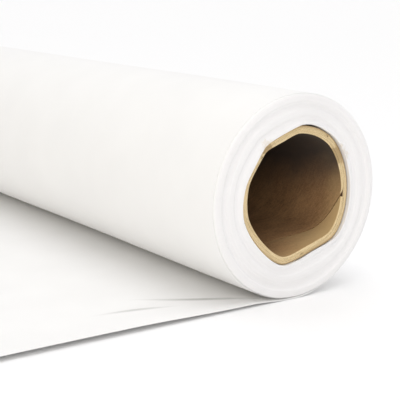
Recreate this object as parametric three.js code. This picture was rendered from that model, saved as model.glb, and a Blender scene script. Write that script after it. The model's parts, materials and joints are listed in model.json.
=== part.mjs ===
// A roll of white background paper wound on a spiral cardboard core, lying on the floor with
// some of its paper pulled off the bottom of the roll.
//
// Frame: millimetres, X along the core, +Z up, the loose paper runs off towards -Y.
// Origin: on the floor, straight under the roll's axis, halfway along its width.
import * as THREE from 'three';

// ---- Roll ----
const paperWidth = 660;          // the paper's cut width
const rollRadius = 48.5;         // outside of the outermost turn
const paperThickness = 0.2;
const turnClearance = 0.3;       // between the outermost turn and the turns inside it

// ---- Loose sheet ----
const sheetLength = 280;         // from the roll's contact line to the free end, along the paper
const contactRun = 3;            // how far the sheet reaches under the roll past its lowest line
const curlLength = 60;           // the last stretch, which still lifts off the floor
const curlRadius = 180;
const sheetGap = 0.3;            // between the sheet and the roll's outermost turn

// ---- Core ----
const boreRadius = 28.9;         // clear of the dents; its girth is that of a round 57 mm bore
const coreWall = 3.5;
const plyCount = 5;
const glueLine = 0.2;            // between one ply and the next
const plyPitch = 96;             // along the core, for one turn of a ply
const seamGap = 0.8;             // along the core, between the edges of a ply's neighbouring turns
const firstSeamAngle = 357.5;    // where the liner's seam meets the right-hand end
const seamStagger = 140;         // from one ply's seam to the next ply's, in degrees round the core
const tipWidth = 2;              // the narrowest that a ply's pointed end is cut
const closedPly = 1;             // the ply whose butted edges are glued shut: a plain tube
const coreRecess = 1.5;          // how far each end of the core lies inside the paper's edge
const coreShiftY = 0.4;          // the core's centre, from the roll's axis
const coreShiftZ = 0.4;

// The core is pressed out of round: each dent is soft, deepest at its middle angle.
const dents = [
  { middle: 291, reach: 34, depth: 2.5 },
  { middle: 228, reach: 28, depth: 0.9 },
  { middle: 113, reach: 24, depth: 1.0 },
  { middle: 30, reach: 30, depth: 0.4 },
];

// ---- Tape that holds the paper's inner end on the core ----
const tapeThickness = 0.3;
const tapeGap = 0.3;             // above and below the tape
const tapeWidth = 50;            // along the core
const tapeStartAngle = 60;       // where each tape starts round the core, in degrees
const tapeSweep = 45;
const tapeInset = 40;            // from the paper's edge to the end tapes

// ---- Facets ----
const coreStep = 15;             // degrees
const rollStep = 5;

const plyThickness = (coreWall - (plyCount - 1) * glueLine) / plyCount;
const coreRadius = boreRadius + coreWall;
const coreLength = paperWidth - 2 * coreRecess;
const packInnerRadius = coreRadius + tapeGap + tapeThickness + tapeGap;
const packOuterRadius = rollRadius - paperThickness - turnClearance;

const radians = THREE.MathUtils.degToRad;
const degrees = THREE.MathUtils.radToDeg;

const kraft = (color, roughness) => new THREE.MeshStandardMaterial({ color, roughness, metalness: 0 });
const paper = () => new THREE.MeshStandardMaterial({ color: 0xf3f2f0, roughness: 0.6, metalness: 0 });
const tape = () => new THREE.MeshStandardMaterial({ color: 0xd9c89c, roughness: 0.45, metalness: 0 });

function mesh(name, geometry, material) {
  const piece = new THREE.Mesh(geometry, material);
  piece.name = name;
  return piece;
}

// Angles from first to last, both included, in steps no larger than step.
function angles(first, last, step) {
  const count = Math.ceil((last - first) / step - 1e-9);
  return Array.from({ length: count + 1 }, (_, i) => first + ((last - first) * i) / count);
}

// ---- Sections, as points (y, z) round a centre ----

function dentDepth(angle) {
  return dents.reduce((sum, { middle, reach, depth }) => {
    const away = Math.abs(((angle - middle + 540) % 360) - 180) / reach;
    return away < 1 ? sum + depth * Math.cos((away * Math.PI) / 2) ** 2 : sum;
  }, 0);
}

function corePoint(radius, angle) {
  const turned = ((angle % 360) + 360) % 360;
  const r = radius - dentDepth(turned);
  return new THREE.Vector2(r * Math.cos(radians(turned)), r * Math.sin(radians(turned)));
}

function roundPoint(radius, angle) {
  return new THREE.Vector2(radius * Math.cos(radians(angle)), radius * Math.sin(radians(angle)));
}

// A band between two outlines: out along the outer one, back along the inner one.
function band(outer, inner) {
  return new THREE.Shape([...outer, ...inner.slice().reverse()]);
}

// A section of (y, z) points, drawn out along X and centred at x.
function alongX(shape, length, x = 0) {
  const geometry = new THREE.ExtrudeGeometry(shape, { depth: length, bevelEnabled: false });
  const turn = new THREE.Matrix4().makeBasis(
    new THREE.Vector3(0, 1, 0), new THREE.Vector3(0, 0, 1), new THREE.Vector3(1, 0, 0));
  return geometry.applyMatrix4(turn).translate(x - length / 2, 0, 0);
}

// ---- Core ply: a strip wound as a helix, cut off square at both ends of the core ----

function plyGeometry(innerRadius, seamAngle) {
  const half = coreLength / 2;
  const lowEdge = (angle) => half + (plyPitch * (angle - seamAngle)) / 360;
  const highEdge = (angle) => lowEdge(angle) + plyPitch - seamGap;
  const sections = [];
  const lastTurn = Math.ceil(coreLength / plyPitch) + 2;
  for (let angle = -360 * lastTurn; angle < 720; angle += coreStep) {
    const low = Math.max(-half, lowEdge(angle));
    const high = Math.min(half, highEdge(angle));
    if (high - low < tipWidth) continue;
    const inside = corePoint(innerRadius, angle);
    const outside = corePoint(innerRadius + plyThickness, angle);
    sections.push([[low, inside], [high, inside], [high, outside], [low, outside]]);
  }
  const position = sections.flat().flatMap(([x, point]) => [x, point.x, point.y]);
  const index = [];
  const quad = (a, b, c, d) => index.push(a, b, c, a, c, d);
  for (let i = 0; i + 1 < sections.length; i++) {
    const near = 4 * i;
    const far = near + 4;
    for (let side = 0; side < 4; side++) {
      const next = (side + 1) % 4;
      quad(near + side, near + next, far + next, far + side);
    }
  }
  const end = 4 * (sections.length - 1);
  quad(0, 3, 2, 1);
  quad(end, end + 1, end + 2, end + 3);
  const geometry = new THREE.BufferGeometry();
  geometry.setAttribute('position', new THREE.Float32BufferAttribute(position, 3));
  geometry.setIndex(index);
  return geometry;
}

// A ply whose seam is closed has no edges left: it is a tube, cut off square.
function closedPlyGeometry(innerRadius) {
  const outline = (radius) => angles(0, 360 - coreStep, coreStep).map((angle) => corePoint(radius, angle));
  const section = new THREE.Shape(outline(innerRadius + plyThickness));
  section.holes.push(new THREE.Path(outline(innerRadius)));
  return alongX(section, coreLength);
}

function plyName(i) {
  if (i === 0) return 'core_liner';
  return i === plyCount - 1 ? 'core_outer_ply' : `core_ply_${i + 1}`;
}

function corePlies() {
  return Array.from({ length: plyCount }, (_, i) => {
    const radius = boreRadius + i * (plyThickness + glueLine);
    const color = i === plyCount - 1 ? 0xb3905f : 0xa9825a;
    const geometry = i === closedPly
      ? closedPlyGeometry(radius)
      : plyGeometry(radius, firstSeamAngle + i * seamStagger);
    return mesh(plyName(i), geometry, kraft(color, 0.9));
  });
}

// ---- Tape ----

function tapes() {
  const radius = coreRadius + tapeGap;
  const sweep = angles(tapeStartAngle, tapeStartAngle + tapeSweep, coreStep);
  const section = band(sweep.map((angle) => corePoint(radius + tapeThickness, angle)),
    sweep.map((angle) => corePoint(radius, angle)));
  const reach = paperWidth / 2 - tapeInset - tapeWidth / 2;
  return [['left', -reach], ['middle', 0], ['right', reach]].map(([place, x]) =>
    mesh(`start_tape_${place}`, alongX(section, tapeWidth, x), tape()));
}

// ---- Paper ----

// The wound turns, as one sleeve: round outside, following the core's outline inside.
function woundPaper() {
  const outline = new THREE.Shape(angles(0, 360 - rollStep, rollStep)
    .map((angle) => roundPoint(packOuterRadius, angle)));
  const shift = new THREE.Vector2(coreShiftY, coreShiftZ);
  outline.holes.push(new THREE.Path(angles(0, 360 - coreStep, coreStep)
    .map((angle) => corePoint(packInnerRadius, angle).add(shift))));
  return mesh('wound_paper', alongX(outline, paperWidth), paper());
}

// The outermost turn: from the contact line up the +Y side, over the top and down the -Y side,
// ending where it would meet the sheet that leaves under it.
function outerWrap() {
  const first = -90 + degrees(Math.asin((contactRun + sheetGap) / rollRadius));
  const last = 270 - degrees(Math.acos(1 - (paperThickness + sheetGap) / rollRadius));
  const sweep = angles(first, last, rollStep);
  const section = band(sweep.map((angle) => roundPoint(rollRadius, angle)),
    sweep.map((angle) => roundPoint(rollRadius - paperThickness, angle)));
  return mesh('outer_wrap', alongX(section, paperWidth), paper());
}

// The paper on the floor: flat, then lifting in one arc towards its free end.
function looseSheet() {
  const flatEnd = -(sheetLength - curlLength);
  const bend = degrees(curlLength / curlRadius);
  const lift = (angle, radius) => new THREE.Vector2(
    flatEnd - radius * Math.sin(radians(angle)), curlRadius - radius * Math.cos(radians(angle)));
  const sweep = angles(0, bend, rollStep);
  const under = [new THREE.Vector2(contactRun, 0), ...sweep.map((angle) => lift(angle, curlRadius))];
  const over = [new THREE.Vector2(contactRun, paperThickness),
    ...sweep.map((angle) => lift(angle, curlRadius - paperThickness))];
  return mesh('loose_sheet', alongX(band(over, under), paperWidth), paper());
}

// ---- Assembly ----

const core = new THREE.Group();
core.position.set(0, coreShiftY, coreShiftZ);
core.add(...corePlies(), ...tapes());

const roll = new THREE.Group();
roll.position.set(0, 0, rollRadius);
roll.add(core, woundPaper(), outerWrap());

const backdropRoll = new THREE.Group();
backdropRoll.add(roll, looseSheet());

export default backdropRoll;
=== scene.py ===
import json
import math

import bmesh
import bpy
import numpy as np
from mathutils import Euler, Matrix, Vector


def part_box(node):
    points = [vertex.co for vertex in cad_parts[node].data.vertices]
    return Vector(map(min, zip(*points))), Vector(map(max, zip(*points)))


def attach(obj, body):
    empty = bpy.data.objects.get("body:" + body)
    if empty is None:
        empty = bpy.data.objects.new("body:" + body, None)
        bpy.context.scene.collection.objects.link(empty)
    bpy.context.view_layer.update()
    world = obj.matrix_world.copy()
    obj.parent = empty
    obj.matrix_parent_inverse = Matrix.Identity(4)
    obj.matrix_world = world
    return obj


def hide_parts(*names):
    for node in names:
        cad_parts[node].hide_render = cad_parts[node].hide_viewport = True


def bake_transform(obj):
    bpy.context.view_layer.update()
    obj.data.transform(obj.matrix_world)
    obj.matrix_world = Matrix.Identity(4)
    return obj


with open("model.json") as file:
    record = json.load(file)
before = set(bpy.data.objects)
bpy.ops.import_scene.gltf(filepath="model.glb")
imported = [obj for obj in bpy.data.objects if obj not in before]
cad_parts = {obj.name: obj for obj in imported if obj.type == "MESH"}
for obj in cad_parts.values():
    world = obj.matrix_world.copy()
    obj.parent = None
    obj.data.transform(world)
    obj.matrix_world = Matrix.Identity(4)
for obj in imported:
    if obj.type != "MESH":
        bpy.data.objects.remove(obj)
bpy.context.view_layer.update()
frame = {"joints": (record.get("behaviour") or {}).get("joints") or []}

# ---- Camera ----
# A long lens stands level with the roll's right-hand end, a little above it and in front, so that
# the round end fills the right of the view and the roll runs away to the left.
wrap_low, wrap_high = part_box("outer_wrap")
paper_half_width = wrap_high.x
roll_radius = (wrap_high.y - wrap_low.y) / 2
axis_height = next(j["pos_m"][2] for j in frame["joints"] if j["name"] == "roll_turn")
right_rim = Vector((paper_half_width, 0, axis_height))

camera_from_rim = Vector((0.3685, -0.3218, 0.1036))
camera_elevation = math.radians(12.2)
camera_azimuth = math.radians(54.25)
camera_roll = math.radians(0.72)

camera = bpy.data.objects.new("camera", bpy.data.cameras.new("camera"))
camera.data.lens = 96.7
camera.data.clip_end = 20
aim = Euler((math.pi / 2 - camera_elevation, 0, camera_azimuth)).to_matrix()
aim = aim @ Matrix.Rotation(camera_roll, 3, "Z")
camera.matrix_world = Matrix.Translation(right_rim + camera_from_rim) @ aim.to_4x4()
bpy.context.scene.collection.objects.link(camera)
bpy.context.scene.camera = camera


# ---- Studio: a pale floor, a white surround and five broad, soft lights ----
# Most of the light comes evenly from all round and from above, and a soft box stands in front of
# the roll's right-hand end. Value and Graph build every node tree, here and further down.

class Value:
    """A node's output. Arithmetic on it adds Math nodes to its tree."""

    def __init__(self, graph, socket):
        self.graph = graph
        self.socket = socket

    def out(self, name):
        return Value(self.graph, self.socket.node.outputs[name])

    def out_at(self, index):
        return Value(self.graph, self.socket.node.outputs[index])

    def math(self, operation, *others):
        inputs = dict(enumerate((self, *others)))
        return self.graph.node("ShaderNodeMath", {"operation": operation}, inputs)

    def __add__(self, other):
        return self.math("ADD", other)

    def __sub__(self, other):
        return self.math("SUBTRACT", other)

    def __mul__(self, other):
        return self.math("MULTIPLY", other)

    def __truediv__(self, other):
        return self.math("DIVIDE", other)

    def __rsub__(self, other):
        return (self * -1) + other

    __radd__ = __add__
    __rmul__ = __mul__


class Graph:
    """The nodes of one tree."""

    def __init__(self, tree):
        self.tree = tree

    def node(self, kind, settings=None, sockets=None):
        """Adds a node: its settings first, then what its sockets hold or are linked to."""
        made = self.tree.nodes.new(kind)
        for name, value in (settings or {}).items():
            if name == "stops":
                for element, (place, color) in zip(self.ramp(made, len(value)), value):
                    element.position = place
                    element.color = (*color, 1)
            elif name == "points":
                for place in value[1:-1]:
                    made.mapping.curves[0].points.new(*place)
                for point, place in zip(made.mapping.curves[0].points, value):
                    point.location = place
                made.mapping.update()
            else:
                setattr(made, name, value)
        for name, value in (sockets or {}).items():
            if isinstance(value, Value):
                self.tree.links.new(value.socket, made.inputs[name])
            else:
                made.inputs[name].default_value = value
        return Value(self, made.outputs[0]) if made.outputs else made

    @staticmethod
    def ramp(made, count):
        elements = made.color_ramp.elements
        while len(elements) < count:
            elements.new(1.0)
        return elements


def material_graph(name):
    """A new material and its graph, with no nodes yet."""
    material = bpy.data.materials.new(name)
    material.use_nodes = True
    material.node_tree.nodes.clear()
    return material, Graph(material.node_tree)


def surface(graph, sockets):
    """Ends a material with the one shader that it has."""
    shader = graph.node("ShaderNodeBsdfPrincipled", {}, sockets)
    graph.node("ShaderNodeOutputMaterial", {}, {"Surface": shader})


floor_size = 40.0
floor_drop = 0.0002
floor_material, g = material_graph("studio_floor")
surface(g, {"Base Color": (0.95, 0.95, 0.95, 1), "Roughness": 0.7})

floor_mesh = bpy.data.meshes.new("floor")
corners = [(-1, -1), (1, -1), (1, 1), (-1, 1)]
floor_mesh.from_pydata(
    [(x * floor_size / 2, y * floor_size / 2, -floor_drop) for x, y in corners], [], [(0, 1, 2, 3)])
floor_mesh.materials.append(floor_material)
floor = bpy.data.objects.new("floor", floor_mesh)
bpy.context.scene.collection.objects.link(floor)

world = bpy.data.worlds.new("surround")
world.use_nodes = True
world.node_tree.nodes["Background"].inputs["Color"].default_value = (0.99, 0.99, 1.0, 1)
world.node_tree.nodes["Background"].inputs["Strength"].default_value = 0.62
bpy.context.scene.world = world
bpy.context.scene.view_settings.view_transform = "Standard"

light_breadth = math.radians(50)


def broad_light(name, azimuth, elevation, color, strength):
    """A light as broad and soft as a big box, the same on everything that faces it."""
    light = bpy.data.objects.new(name, bpy.data.lights.new(name, "SUN"))
    light.data.angle = light_breadth
    light.data.color = color
    light.data.energy = strength * math.pi
    from_above = math.pi / 2 - math.radians(elevation)
    light.rotation_euler = (0, from_above, math.radians(azimuth))
    bpy.context.scene.collection.objects.link(light)


broad_light("key", 315, 88, (0.99, 0.99, 1.0), 0.31)
broad_light("side_fill", 270, 14, (1.0, 0.88, 0.62), 0.11)
broad_light("end_fill", 45, 50, (1.0, 0.98, 0.98), 0.11)
broad_light("back", 135, 22, (1.0, 0.99, 0.97), 0.05)

front = bpy.data.objects.new("front", bpy.data.lights.new("front", "AREA"))
front.data.size = 1.1
front.data.color = (1.0, 0.97, 0.94)
front.data.energy = 3.35
front.location = right_rim + Vector((0.84, -0.75, 0.41))
front.rotation_euler = (right_rim - front.location).to_track_quat("-Z", "Y").to_euler()
bpy.context.scene.collection.objects.link(front)


# ---- Wound strips: the one rule that the core's plies and the paper's turns are wound by ----
# Both are long flat strips. A ply is wound as a helix of one radius, and the paper as a spiral of
# one place along the core, each turn stepping in at its end. Round the core both follow its dents.

def strip_inputs(tree, names):
    """The tree's named inputs, each as a Value."""
    entry = Graph(tree).node("NodeGroupInput")
    kinds = {"steps": "NodeSocketInt", "rows": "NodeSocketInt",
             "face": "NodeSocketMaterial", "cut": "NodeSocketMaterial"}
    for name in names:
        tree.interface.new_socket(name, in_out="INPUT", socket_type=kinds.get(name, "NodeSocketFloat"))
    return [entry.out(name) for name in names]


core_dents = [  # middle and reach in degrees round the core, and depth in metres
    (287, 31, 0.0032),
    (223, 30, 0.0014),
    (110, 21, 0.0015),
    (146, 18, 0.0008),
    (8, 44, 0.0015),
]
paper_overhang = [(292, 40, 1.0), (150, 42, 0.9)]  # where the first turns curl in over the core's end
end_profile = [  # how far the turns stand out, as shares, from the core's side to the rim
    (0.0, 0.78), (0.05, 0.80), (0.20, 0.44), (0.26, 0.44), (0.36, 0.68), (0.48, 0.66),
    (0.63, 0.34), (0.69, 0.36), (0.79, 0.70), (0.85, 0.68), (1.0, 0.18)]
proudest = 0.80
profile_unevenness = 0.9  # how much the profile's height changes round the roll, as a share
lifted_place = (79, 20)  # where the first turns stand off the core: middle and reach in degrees
steady_share = 0.9  # how much of a turn keeps one radius before it steps in to the next
cut_facing = 0.6  # a face that looks along the roll by more than this share,
cut_depth = 0.0015  # and lies this near a strip's end, is its cut edge
strip_sharp_angle = math.radians(30)


def away_from(angle, middle, reach):
    """How far angle is from middle, as a share of reach, and no more than 1."""
    turned = (angle - math.radians(middle)).math("WRAP", math.pi, -math.pi)
    return (turned.math("ABSOLUTE") / math.radians(reach)).math("MINIMUM", 1.0)


def soft_bump(angle, middle, reach):
    """1 at the middle angle, falling softly to 0 at reach on each side of it."""
    side = (away_from(angle, middle, reach) * (math.pi / 2)).math("COSINE")
    return side * side


def pressed_flat(angle, middle, reach):
    """1 at the middle angle, as a flat is: it meets the round with a corner on each side."""
    away = away_from(angle, middle, reach)
    return (1 - away * away).math("POWER", 1.4)


def fade(g, value, start, end):
    """1 up to start, falling smoothly to 0 at end."""
    return 1 - g.node("ShaderNodeMapRange", {"interpolation_type": "SMOOTHSTEP"}, {
        "Value": value, "From Min": start, "From Max": end})


def noise_round(g, angle, turn, ring_size, per_turn, seed, detail):
    """A noise from 0 to 1 that closes on itself round the roll and changes from turn to turn."""
    place = g.node("ShaderNodeCombineXYZ", {}, {
        "X": angle.math("COSINE") * ring_size, "Y": angle.math("SINE") * ring_size,
        "Z": turn * per_turn})
    return g.node("ShaderNodeTexNoise", {"noise_dimensions": "4D"}, {
        "Vector": place, "W": seed, "Scale": 1.0, "Detail": detail})


def wound_strip_tree():
    tree = bpy.data.node_groups.new("wound_strip", "GeometryNodeTree")
    tree.interface.new_socket("Geometry", in_out="OUTPUT", socket_type="NodeSocketGeometry")
    g = Graph(tree)
    (steps, rows, row_crowding, first, last, start_radius, growth, thickness, low_at_zero, advance,
     width, half_length, broad_offset, broad_per_turn, fine_offset, fine_per_turn, inner_bevel,
     outer_bevel, profile_from, profile_to, profile_height, dents_from, dents_to, lift, lift_depth,
     overhang, overhang_depth, wobble, shift_y, shift_z, height, face, cut) = strip_inputs(tree, [
         "steps", "rows", "row_crowding", "first", "last", "start_radius", "growth", "thickness",
         "low_at_zero", "advance", "width", "half_length", "broad_offset", "broad_per_turn",
         "fine_offset", "fine_per_turn", "inner_bevel", "outer_bevel", "profile_from",
         "profile_to", "profile_height", "dents_from", "dents_to", "lift", "lift_depth",
         "overhang", "overhang_depth", "wobble", "shift_y", "shift_z", "height", "face", "cut"])

    blank = g.node("GeometryNodeMeshCube", {}, {
        "Size": (1, 1, 1), "Vertices X": steps, "Vertices Y": rows, "Vertices Z": 2})
    place = g.node("ShaderNodeSeparateXYZ", {}, {"Vector": g.node("GeometryNodeInputPosition")})
    along = place.out("X") + 0.5
    side = place.out("Y") * 2
    to_edge = side.math("ABSOLUTE")
    across = 0.5 + 0.5 * side.math("SIGN") * to_edge.math("POWER", row_crowding)
    through = place.out("Z") + 0.5

    angle = first + along * (last - first)
    turn = (angle - first) / (2 * math.pi)
    stepping_in = 1 - fade(g, turn.math("FRACT"), steady_share, 1.0)
    bare_radius = start_radius + growth * (turn.math("FLOOR") + stepping_in) + through * thickness

    near_core = fade(g, bare_radius, dents_from, dents_to)
    dent = sum(pressed_flat(angle, middle, reach) * depth for middle, reach, depth in core_dents)
    lifted = (soft_bump(angle, *lifted_place) * lift
              * fade(g, bare_radius, dents_from, dents_from + lift_depth))
    at_edge = to_edge.math("GREATER_THAN", 0.99)
    overhung = (sum(soft_bump(angle, middle, reach) * share for middle, reach, share in paper_overhang)
                * fade(g, bare_radius, dents_from, dents_from + overhang_depth) * overhang * at_edge)
    swell = (noise_round(g, angle, turn, 1.0, 0.0, 21.0, 1.0) - 0.5) * wobble * near_core
    radius = bare_radius - dent * near_core + lifted - overhung + swell

    share = g.node("ShaderNodeMapRange", {}, {
        "Value": bare_radius, "From Min": profile_from, "From Max": profile_to})
    curve = g.node("ShaderNodeFloatCurve", {"points": end_profile}, {"Value": share})
    bevel = inner_bevel * (1 - through) + outer_bevel * through

    def end_offset(seed):
        uneven = (noise_round(g, angle, turn, 0.7, 0.0, seed + 5.0, 1.0) - 0.5) * fade(g, share, 0.7, 0.95)
        strength = 1 + profile_unevenness * uneven
        broad = (noise_round(g, angle, turn, 0.6, broad_per_turn, seed, 2.0) - 0.5) * broad_offset
        return (broad * fade(g, share, 0.85, 1.0)
                + (noise_round(g, angle, turn, 2.5, fine_per_turn, seed + 9.0, 1.0) - 0.5) * fine_offset
                + (curve - proudest) * profile_height * strength - bevel)

    low_edge = low_at_zero + advance * angle / (2 * math.pi)
    low = low_edge.math("MAXIMUM", 0 - half_length - end_offset(3.0))
    high = (low_edge + width).math("MINIMUM", half_length + end_offset(11.0))
    x = low + across * (high - low)

    point = g.node("ShaderNodeCombineXYZ", {}, {
        "X": x,
        "Y": shift_y * near_core + radius * angle.math("COSINE"),
        "Z": height + shift_z * near_core + radius * angle.math("SINE")})
    strip = g.node("ShaderNodeCombineXYZ", {}, {
        "X": bare_radius * angle, "Y": x - low_edge, "Z": bare_radius})
    kept = g.node("GeometryNodeStoreNamedAttribute", {"data_type": "FLOAT_VECTOR"}, {
        "Geometry": blank, "Name": "strip", "Value": strip})
    wound = g.node("GeometryNodeSetPosition", {}, {"Geometry": kept, "Position": point})

    smooth = g.node("GeometryNodeSetShadeSmooth", {}, {"Geometry": wound})
    faced = g.node("GeometryNodeSetMaterial", {}, {"Geometry": smooth, "Material": face})
    normal = g.node("ShaderNodeSeparateXYZ", {}, {"Vector": g.node("GeometryNodeInputNormal")})
    end_on = normal.out("X").math("ABSOLUTE").math("GREATER_THAN", cut_facing)
    now = g.node("ShaderNodeSeparateXYZ", {}, {"Vector": g.node("GeometryNodeInputPosition")})
    at_end = now.out("X").math("ABSOLUTE").math("GREATER_THAN", half_length - cut_depth)
    both = g.node("GeometryNodeSetMaterial", {}, {
        "Geometry": faced, "Selection": end_on * at_end, "Material": cut})
    whole = g.node("GeometryNodeRealizeInstances", {}, {"Geometry": both})
    g.node("NodeGroupOutput", {}, {"Geometry": whole})
    return tree


def wound(name, tree, sizes):
    """The strip of those sizes as a plain mesh, with its modifier gone. A size not given is 0."""
    piece = bpy.data.objects.new(name, bpy.data.meshes.new(name))
    bpy.context.scene.collection.objects.link(piece)
    modifier = piece.modifiers.new("winding", "NODES")
    modifier.node_group = tree
    for item in tree.interface.items_tree:
        if item.in_out == "INPUT":
            modifier[item.identifier] = sizes.get(item.name, 0.0)
    shown = piece.evaluated_get(bpy.context.evaluated_depsgraph_get())
    mesh = bpy.data.meshes.new_from_object(shown)
    piece.modifiers.clear()
    piece.data = mesh
    mesh.name = name
    mesh.set_sharp_from_angle(angle=strip_sharp_angle)
    return piece


winding = wound_strip_tree()
core_shift = Vector((0, 0.0004, 0.0004))
around_core = {  # the sizes that every strip shares
    "shift_y": core_shift.y,
    "shift_z": core_shift.z,
    "height": axis_height,
    "wobble": 0.0003,
}
far_off = 1.0  # in metres: past anything on the roll
on_the_core = around_core | {  # and those of the strips that are dented all through, with plain ends
    "row_crowding": 1.0,
    "profile_from": far_off,
    "profile_to": 2 * far_off,
    "dents_from": far_off,
    "dents_to": 2 * far_off,
}


# ---- Core: five strips of brown board, glued one over the other as helices ----
# The innermost strip's butt seam shows in the bore, and each strip's cut edge shows on the end.
# The saw has left the inner lip pale and a little rounded, and has torn the end in two places.

core_half_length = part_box("core_liner")[1].x
ply_names = ["core_liner", "core_ply_2", "core_ply_3", "core_ply_4", "core_outer_ply"]
ply_pitch = 0.096
ply_step = 0.00072
ply_thickness = 0.00070
bore_radius = 0.0293
liner_seam = math.radians(357.5)
seam_stagger = math.radians(140)
seam_gap = 0.0008
hidden_seam_gap = 0.0001
steps_per_turn = 96
torn_places = [  # middle, and how wide each is for the width asked for
    ((core_half_length, 0.0240, axis_height + 0.0180), 1.0),
    ((core_half_length, -0.0185, axis_height + 0.0245), 0.7),
]
torn_raggedness = 0.009
# Painted light: a lighter colour laid on the liner beside its seam and near the core's ends, where light
# comes in through the mouth.
seam_painted_light, seam_painted_light_reach = 0.45, 0.045  # how much of the board the painted light covers, and how far it reaches
mouth_painted_light, mouth_painted_light_reach = 0.40, 0.016
# Painted shade on the bore's upper side: how much it covers, and the heights where it starts and where it
# is full.
bore_shade_cover = 0.95
bore_shade_from = axis_height - 0.006
bore_shade_full = axis_height + 0.021


def torn_smudge(g, near, far):
    """1 at the torn parts of the core's end, ragged and falling to 0 away from them."""
    place = g.node("ShaderNodeTexCoord").out("Object")
    noise = g.node("ShaderNodeTexNoise", {}, {"Vector": place, "Scale": 520.0, "Detail": 5.0})
    ragged = (noise - 0.5) * torn_raggedness
    smudge = 0
    for middle, width in torn_places:
        distance = g.node("ShaderNodeVectorMath", {"operation": "DISTANCE"}, {0: place, 1: middle})
        smudge = smudge + fade(g, distance.out("Value") + ragged, near * width, far * width)
    return smudge


def mixed(g, amount, start, end):
    """The colour amount of the way from start to end."""
    mix = g.node("ShaderNodeMix", {"data_type": "RGBA"}, {"Factor": amount, 6: start, 7: end})
    return mix.out_at(2)


def board(name, dark, light, torn=None, painted_light_color=None, bore_shade_color=None):
    """Brown board: long fibres, soft blotches and specks, in the strip's own directions.

    Painted light lightens it near a seam on the bore's +y side and near the core's ends, and painted shade
    darkens the upper side of the bore.
    """
    material, g = material_graph(name)
    strip = g.node("ShaderNodeAttribute", {"attribute_name": "strip"}).out("Vector")
    stretched = g.node("ShaderNodeMapping", {}, {"Vector": strip, "Scale": (400, 900, 2200)})
    fibre = g.node("ShaderNodeTexNoise", {}, {
        "Vector": stretched, "Scale": 1.0, "Detail": 6.0, "Roughness": 0.6})
    blotch = g.node("ShaderNodeTexNoise", {}, {"Vector": strip, "Scale": 75.0, "Detail": 4.0})
    speck = g.node("ShaderNodeTexNoise", {}, {"Vector": strip, "Scale": 1300.0, "Detail": 2.0})
    color = g.node("ShaderNodeValToRGB", {"stops": [(0.38, dark), (0.61, light)]}, {
        "Fac": fibre * 0.35 + blotch * 0.35 + speck * 0.3})
    if torn:
        color = mixed(g, 0.85 * torn_smudge(g, 0.003, 0.0065), color, (*torn, 1))
    if painted_light_color:
        place = g.node("ShaderNodeSeparateXYZ", {}, {"Vector": g.node("ShaderNodeTexCoord").out("Object")})
        across = g.node("ShaderNodeSeparateXYZ", {}, {"Vector": strip}).out("Y")
        from_mouth = core_half_length - place.out("X").math("ABSOLUTE")
        back_side = 1 - fade(g, place.out("Y"), -0.012, 0.022)
        by_seam = fade(g, across + (blotch - 0.5) * 0.03, 0.0, seam_painted_light_reach)
        by_mouth = fade(g, from_mouth + (blotch - 0.5) * 0.012, 0.0, mouth_painted_light_reach)
        # Painted light: lighter beside the seam on the bore's +y side and near the mouths.
        painted_light = seam_painted_light * back_side * by_seam + mouth_painted_light * by_mouth
        color = mixed(g, painted_light, color, (*painted_light_color, 1))
        # Painted shade: darker toward the top of the bore, reaching lower the deeper it goes from the
        # mouth.
        upper = place.out("Z") + (blotch - 0.5) * 0.012 + 0.17 * from_mouth.math("MINIMUM", 0.12)
        bore_shade_amount = bore_shade_cover - bore_shade_cover * fade(g, upper, bore_shade_from, bore_shade_full)
        color = mixed(g, bore_shade_amount, color, (*bore_shade_color, 1))
    relief = g.node("ShaderNodeBump", {}, {
        "Strength": 0.5, "Distance": 0.0002, "Height": fibre * 0.7 + speck * 0.3})
    surface(g, {"Base Color": color, "Roughness": 0.8 + 0.15 * fibre, "Normal": relief})
    return material


torn_brown = (0.42, 0.29, 0.14)
# The liner carries painted light near its seam and ends, and painted shade on the bore's upper side.
liner_face = board("liner_board", (0.245, 0.128, 0.053), (0.48, 0.272, 0.122),
                   painted_light_color=(0.70, 0.49, 0.23), bore_shade_color=(0.038, 0.030, 0.025))
# Plies 2 to 4: glued board, painted dark so that the liner's seam gap, where only they show, carries
# painted shade.
glued_face_painted_shade = board("glued_board", (0.09, 0.052, 0.026), (0.16, 0.095, 0.048))
core_face = board("core_board", (0.34, 0.215, 0.105), (0.52, 0.36, 0.19))
lip_edge = board("cut_board_lip", (0.64, 0.48, 0.25), (0.84, 0.68, 0.41), torn_brown)
inside_edge = board("cut_board", (0.58, 0.43, 0.22), (0.80, 0.64, 0.38), torn_brown)
outer_edge = board("cut_board_outer", (0.44, 0.31, 0.15), (0.66, 0.50, 0.29), torn_brown)
ply_faces = [liner_face, glued_face_painted_shade, glued_face_painted_shade, glued_face_painted_shade, core_face]
ply_cuts = [lip_edge, inside_edge, inside_edge, inside_edge, outer_edge]

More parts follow.
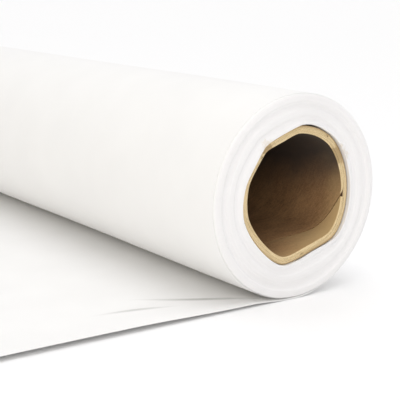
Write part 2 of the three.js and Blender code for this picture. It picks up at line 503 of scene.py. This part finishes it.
for i, name in enumerate(ply_names):
    innermost = i == 0
    outermost = i == len(ply_names) - 1
    seam = liner_seam + i * seam_stagger
    gap = seam_gap if innermost else hidden_seam_gap
    tip = 0.0012 if innermost else 0.0003
    first = seam + (tip + gap - 2 * core_half_length - ply_pitch) / ply_pitch * 2 * math.pi
    last = seam - tip / ply_pitch * 2 * math.pi
    ply = wound("board_" + name, winding, on_the_core | {
        "steps": int((last - first) / (2 * math.pi) * steps_per_turn),
        "rows": 14 if innermost else 3,
        "first": first,
        "last": last,
        "start_radius": bore_radius + i * ply_step,
        "thickness": ply_thickness,
        "low_at_zero": core_half_length - ply_pitch * seam / (2 * math.pi),
        "advance": ply_pitch,
        "width": ply_pitch - gap,
        "half_length": core_half_length,
        "broad_offset": 0.0003,
        "broad_per_turn": 9.0,
        "fine_offset": 0.0004,
        "fine_per_turn": 9.0,
        "inner_bevel": 0.0005 if innermost else 0.0,
        "outer_bevel": 0.0003 if outermost else 0.0,
        "face": ply_faces[i],
        "cut": ply_cuts[i],
    })
    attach(ply, "roll")
    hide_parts(name)


# ---- Start tape: three tabs of crepe tape that hold the paper's inner end on the core ----
# Each is stuck on the core's outside, under the first turn of paper.

core_outside = bore_radius + 4 * ply_step + ply_thickness
tape_thickness = 0.00012
tape_lift = 0.00003
tape_start = math.radians(60)
tape_end = math.radians(105)
tape_face, g = material_graph("crepe_tape")
strip = g.node("ShaderNodeAttribute", {"attribute_name": "strip"}).out("Vector")
crepe = g.node("ShaderNodeTexWave", {"bands_direction": "X"}, {
    "Vector": strip, "Scale": 260.0, "Distortion": 3.0, "Detail": 2.0}).out("Fac")
tape_color = g.node("ShaderNodeValToRGB", {
    "stops": [(0.2, (0.60, 0.48, 0.27)), (0.9, (0.76, 0.65, 0.42))]}, {"Fac": crepe})
crepe_relief = g.node("ShaderNodeBump", {}, {"Strength": 0.6, "Distance": 0.0001, "Height": crepe})
surface(g, {"Base Color": tape_color, "Roughness": 0.5 + 0.1 * crepe, "Normal": crepe_relief})

for place in ("left", "middle", "right"):
    low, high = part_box("start_tape_" + place)
    tab = wound("tab_start_tape_" + place, winding, on_the_core | {
        "steps": 24,
        "rows": 12,
        "first": tape_start,
        "last": tape_end,
        "start_radius": core_outside + tape_lift,
        "thickness": tape_thickness,
        "low_at_zero": low.x,
        "width": high.x - low.x,
        "half_length": paper_half_width,
        "face": tape_face,
        "cut": tape_face,
    })
    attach(tab, "roll")
    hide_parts("start_tape_" + place)


# ---- Wound paper: every turn but the outermost, as one spiral of one web ----
# White paper, smooth and matt with a soft sheen. The turns' cut edges make the roll's end: they lie
# tight, stand out a little in broad rings, and round off at the rim.

# Painted shade: the grey laid along the foot of each crease, where a fold's shadow falls.
crease_shade_color = (0.36, 0.35, 0.335, 1)


def paper_material(name, tint, shade):
    """White paper: a faint cloudiness, a fine tooth, an even, soft gloss and painted shade along the
    creases' feet.
    """
    material, g = material_graph(name)
    place = g.node("ShaderNodeTexCoord").out("Object")
    cloud = g.node("ShaderNodeTexNoise", {}, {"Vector": place, "Scale": 38.0, "Detail": 5.0})
    tooth = g.node("ShaderNodeTexNoise", {}, {"Vector": place, "Scale": 2600.0, "Detail": 3.0})
    color = g.node("ShaderNodeValToRGB", {"stops": [(0.3, shade), (0.7, tint)]}, {"Fac": cloud})
    # Painted shade along the creases' feet, read from the web's point attribute.
    wear = g.node("ShaderNodeAttribute", {"attribute_name": "wear"}).out("Fac")
    color = mixed(g, wear, color, crease_shade_color)
    relief = g.node("ShaderNodeBump", {}, {"Strength": 0.25, "Distance": 0.00005, "Height": tooth})
    surface(g, {"Base Color": color, "Roughness": 0.48 + 0.1 * tooth, "Normal": relief})
    return material


def paper_edge_material(name, tint, shade, torn):
    """The turns' cut edges: fine rings a shade apart, and board fibres where the core is torn."""
    material, g = material_graph(name)
    strip = g.node("ShaderNodeAttribute", {"attribute_name": "strip"}).out("Vector")
    ringed = g.node("ShaderNodeMapping", {}, {"Vector": strip, "Scale": (9, 9, 2600)})
    ring = g.node("ShaderNodeTexNoise", {}, {"Vector": ringed, "Scale": 1.0, "Detail": 2.0})
    speck = g.node("ShaderNodeTexNoise", {}, {"Vector": strip, "Scale": 1500.0, "Detail": 2.0})
    color = g.node("ShaderNodeValToRGB", {"stops": [(0.3, shade), (0.7, tint)]}, {
        "Fac": ring * 0.7 + speck * 0.3})
    color = mixed(g, 0.4 * torn_smudge(g, 0.0035, 0.0070), color, (*torn, 1))
    relief = g.node("ShaderNodeBump", {}, {"Strength": 0.2, "Distance": 0.0001, "Height": speck})
    surface(g, {"Base Color": color, "Roughness": 0.75 + 0.1 * speck, "Normal": relief})
    return material


paper_face = paper_material("backdrop_paper", (0.90, 0.895, 0.885), (0.88, 0.875, 0.865))
paper_edge = paper_edge_material(
    "backdrop_paper_edge", (0.91, 0.90, 0.895), (0.86, 0.845, 0.84), (0.66, 0.53, 0.35))

paper_thickness = 0.0002
turn_pitch = 0.00021
core_to_paper = 0.00016
wrap_clearance = 0.00003
profile_height = 0.0024
dented_paper = 0.013  # how far out from the core the turns still follow its dents
first_turn_radius = core_outside + core_to_paper
pack_outside = roll_radius - paper_thickness - wrap_clearance
bottom = -math.pi / 2
turn_count = int((pack_outside - paper_thickness - first_turn_radius) / turn_pitch)
paper_steps_per_turn = 72

pack = wound("wound_turns", winding, around_core | {
    "steps": turn_count * paper_steps_per_turn,
    "rows": 4,
    "row_crowding": 0.0042,  # draws the two middle rows out to the core's ends
    "first": bottom,
    "last": bottom + turn_count * 2 * math.pi,
    "start_radius": pack_outside - paper_thickness,
    "growth": -turn_pitch,
    "thickness": paper_thickness,
    "low_at_zero": -far_off,
    "width": 2 * far_off,
    "half_length": paper_half_width,
    "broad_offset": 0.0004,
    "broad_per_turn": 0.16,
    "fine_offset": 0.00008,
    "fine_per_turn": 2.3,
    "profile_from": first_turn_radius,
    "profile_to": pack_outside,
    "profile_height": profile_height,
    "dents_from": first_turn_radius,
    "dents_to": first_turn_radius + dented_paper,
    "lift": 0.0005,
    "lift_depth": 0.004,
    "overhang": 0.0012,
    "overhang_depth": 0.002,
    "face": paper_face,
    "cut": paper_edge,
})
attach(pack, "roll")
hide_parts("wound_paper")


# ---- The web's outer end: the outermost turn and the loose sheet, one uncut length of paper ----
# The sheet leaves from under the roll and lies on the floor with a few shallow waves and creases.
# Its side edges stand a little off the floor, and it still curls up at its free end.

sheet_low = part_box("loose_sheet")[0]
curl_length = 0.060
curl_radius = 0.180
flat_length = -sheet_low.y - curl_radius * math.sin(curl_length / curl_radius)
tail_length = flat_length + curl_length
wrap_sweep = math.radians(352)
rim_margin = 0.0001  # how far the outermost turn stays inside the turn under it
rim_recess = (proudest - end_profile[-1][1]) * profile_height + rim_margin
rim_sweep = 0.6  # in radians, from full width under the roll to that recess
web_sharp_angle = math.radians(35)


def smooth_ramp(t):
    t = np.clip(t, 0, 1)
    return t * t * (3 - 2 * t)


def bump_at(value, middle, reach):
    """1 at middle, falling softly to 0 at reach on each side of it."""
    t = np.clip(np.abs(value - middle) / reach, 0, 1)
    return np.cos(t * np.pi / 2) ** 2


def stepped(*stretches):
    """Places from the first stretch's start to the last one's end, each with its own step."""
    places = [np.arange(start, end - step / 2, step) for start, end, step in stretches]
    return np.concatenate(places + [[stretches[-1][1]]])


creases = [  # start and end, height, reach of the near and the far flank, and how much painted shade lies along the foot
    ((0.326, -0.013), (0.293, -0.066), 0.0007, 0.0009, 0.008, 0.8),
    ((0.311, -0.056), (0.304, -0.094), 0.0005, 0.0009, 0.006, 0.6),
    ((0.150, -0.085), (0.235, -0.120), 0.0004, 0.0040, 0.010, 0.0),
    ((-0.210, -0.130), (-0.090, -0.090), 0.0004, 0.0060, 0.010, 0.0)]
crease_reach = 0.62  # as a share of its length, from its middle to where it has died away
crease_shade_foot, crease_shade_reach = 0.0006, 0.0016  # the middle of the painted shade line beside the ridge, and its reach


def creased(x, y):
    """How far the creases raise the sheet at x, y, and how much painted shade lies along their feet there.
    """
    raised = np.zeros_like(x)
    painted_crease_shade = np.zeros_like(x)
    for start, end, height, near, far, wear in creases:
        run = np.array(end) - np.array(start)
        length = np.hypot(*run)
        direction = run / length
        along = (x - start[0]) * direction[0] + (y - start[1]) * direction[1]
        aside = (y - start[1]) * direction[0] - (x - start[0]) * direction[1]
        flank = np.exp(-np.abs(aside) / np.where(aside > 0, near, far))
        share = bump_at(along, length / 2, length * crease_reach)
        raised += height * flank * share
        # Painted shade: a grey line along the foot of each crease.
        painted_crease_shade += wear * bump_at(aside, crease_shade_foot, crease_shade_reach) * share
    return raised, painted_crease_shade


wave_random = np.random.default_rng(7)
waves = [(wave_random.uniform(8, 26), wave_random.uniform(10, 30), wave_random.uniform(0, 6.28), a)
         for a in (0.00030, 0.00025, 0.00020, 0.00015)]
waves_from, waves_rise = 0.03, 0.06  # from the roll's axis, and on to their full height
edge_lift = 0.0012
edge_lift_reach = 0.030
edge_lift_from, edge_lift_rise = 0.004, 0.022


def tail_height(x, y):
    """How high the loose sheet's underside stands off the floor."""
    swell = sum(a * (1 + np.sin(kx * x + ky * y + phase)) for kx, ky, phase, a in waves)
    settled = smooth_ramp((-y - waves_from) / waves_rise)
    at_side = smooth_ramp(1 - (paper_half_width - np.abs(x)) / edge_lift_reach)
    clear_of_roll = smooth_ramp((-y - edge_lift_from) / edge_lift_rise)
    return swell * settled + edge_lift * at_side * clear_of_roll


finger_dents = [  # place along the roll, sweep in degrees, reach in metres and depth in metres
    (0.230, 259, 0.012, 0.00025), (0.273, 254, 0.009, 0.00020), (0.306, 270, 0.010, 0.00022),
    (-0.120, 262, 0.020, 0.00030), (0.060, 205, 0.018, 0.00020), (-0.230, 140, 0.022, 0.00030)]
swell_floor = 0.00001
ripple_height = 0.00010
sag_height = 0.00008
sag_middle = math.radians(322)
sag_reach = math.radians(48)
tight_rim = 0.02  # the turn lies tight again toward its side edges, in metres,
tight_start, tight_end = 0.5, 0.3  # and toward both its ends, in radians


def wrap_swell(x, sweep):
    """How far the outermost turn stands off its plain radius, for an angle up from its start."""
    ripple = ripple_height * (2 + np.sin(31 * x + 2.1 * sweep) + np.sin(19 * x - 3.3 * sweep + 1.0))
    sag = sag_height * bump_at(sweep, sag_middle, sag_reach) * smooth_ramp((x + 0.02) / 0.33)
    inside = smooth_ramp((paper_half_width - np.abs(x)) / tight_rim)
    dented = sum(depth * bump_at(np.hypot(x - place, roll_radius * (sweep - math.radians(up))), 0, reach)
                 for place, up, reach, depth in finger_dents)
    loose = smooth_ramp(sweep / tight_start) * smooth_ramp((wrap_sweep - sweep) / tight_end)
    return (sag + ripple * inside + swell_floor - np.minimum(dented, ripple * inside)) * loose


close_rows = 0.100  # of the loose sheet, by the roll, where the creases need close rows
tail_rows = tail_length - stepped((0, close_rows, 0.0008), (close_rows, tail_length, 0.005))[::-1]
wrap_rows = stepped((0, wrap_sweep, math.radians(4)))[1:]
across_web = stepped(  # as shares of half the width, closer toward the creases
    (-paper_half_width, 0.10, 0.012), (0.10, 0.285, 0.0035), (0.285, paper_half_width, 0.0006))
across_web /= paper_half_width
columns = len(across_web)


def web_surface(depth):
    """The web's points and their painted crease shade, row by row, depth metres in from its outer face."""
    rows = []
    for s in tail_rows:
        x = across_web * paper_half_width
        curled = max(0.0, curl_length - s) / curl_radius
        y = -(flat_length - max(0.0, s - curl_length)) - (curl_radius - depth) * math.sin(curled)
        z = curl_radius - (curl_radius - depth) * math.cos(curled)
        y = np.full_like(x, y)
        raised, painted_crease_shade = creased(x, y)
        rows.append(np.stack([x, y, z + tail_height(x, y) + raised, painted_crease_shade], 1))
    for sweep in wrap_rows:
        x = across_web * (paper_half_width - rim_recess * smooth_ramp(sweep / rim_sweep))
        r = roll_radius - depth + wrap_swell(x, sweep)
        y = r * math.sin(sweep)
        z = axis_height - r * math.cos(sweep)
        rows.append(np.stack([x, y, z, np.zeros_like(x)], 1))
    return np.array(rows)


outer = web_surface(0.0)
inner = web_surface(paper_thickness)
row_count = len(outer)
vertices = np.concatenate([outer.reshape(-1, 4), inner.reshape(-1, 4)])
layer = row_count * columns
faces = []
for r in range(row_count - 1):
    for c in range(columns - 1):
        a = r * columns + c
        faces.append((a, a + columns, a + columns + 1, a + 1))
        faces.append((layer + a, layer + a + 1, layer + a + columns + 1, layer + a + columns))
rim_line = ([(0, c) for c in range(columns)]
            + [(r, columns - 1) for r in range(1, row_count)]
            + [(row_count - 1, c) for c in range(columns - 2, -1, -1)]
            + [(r, 0) for r in range(row_count - 2, 0, -1)])
rim_line = [r * columns + c for r, c in rim_line]
for a, b in zip(rim_line, rim_line[1:] + rim_line[:1]):
    faces.append((a, b, layer + b, layer + a))

web_mesh = bpy.data.meshes.new("paper_web")
web_mesh.from_pydata(vertices[:, :3].tolist(), [], faces)
web_mesh.attributes.new("wear", "FLOAT", "POINT").data.foreach_set("value", vertices[:, 3])
web_mesh.materials.append(paper_face)
web_mesh.validate()
checked = bmesh.new()
checked.from_mesh(web_mesh)
bmesh.ops.recalc_face_normals(checked, faces=checked.faces)
checked.to_mesh(web_mesh)
checked.free()
web_mesh.shade_smooth()
web_mesh.set_sharp_from_angle(angle=web_sharp_angle)
web = bpy.data.objects.new("paper_web", web_mesh)
bpy.context.scene.collection.objects.link(web)

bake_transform(web)
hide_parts("outer_wrap", "loose_sheet")
